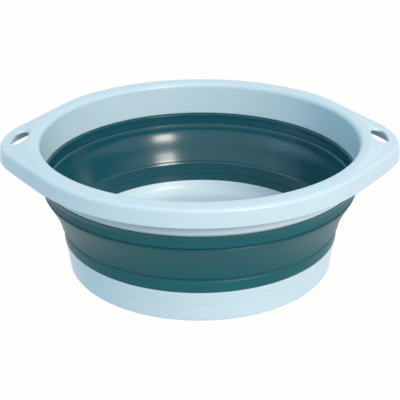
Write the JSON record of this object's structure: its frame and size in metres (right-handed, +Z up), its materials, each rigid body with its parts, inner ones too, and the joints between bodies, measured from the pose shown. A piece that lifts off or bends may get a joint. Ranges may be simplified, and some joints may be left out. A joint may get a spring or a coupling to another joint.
{
  "type": "collapsible wash basin",
  "caption": "Round folding wash basin: a rigid domed rim with two hanging ears, a soft bellows wall that folds down at its creases, and a rigid base cup.",
  "frame": {"origin": "middle of the ring-shaped foot, on the surface that the basin stands on", "axes": "+X towards one hanging ear, +Z up out of the basin's mouth"},
  "size_m": [0.3598, 0.3222, 0.121],
  "materials": {
    "rim_plastic": "satin, pale blue polypropylene",
    "base_plastic": "satin, pale blue polypropylene",
    "soft_wall": "satin, dark teal soft plastic"
  },
  "bodies": {
    "base": {"base_cup": "base_plastic", "wall_lower_band": "soft_wall"},
    "panel": {"wall_middle_panel": "soft_wall", "wall_upper_fold": "soft_wall", "wall_lower_fold": "soft_wall"},
    "rim": {"rim_frame": "rim_plastic", "wall_upper_band": "soft_wall"}
  },
  "joints": [
    {"name": "collapse", "type": "slide", "parent": "base", "child": "rim", "axis": [0, 0, -1], "range_m": [0, 0.07]},
    {"name": "panel_slide", "type": "slide", "parent": "base", "child": "panel", "axis": [0, 0, -1], "range_m": [0, 0.035]}
  ],
  "couplings": [
    {"joint": "panel_slide", "follows": "collapse", "ratio": 0.5}
  ]
}
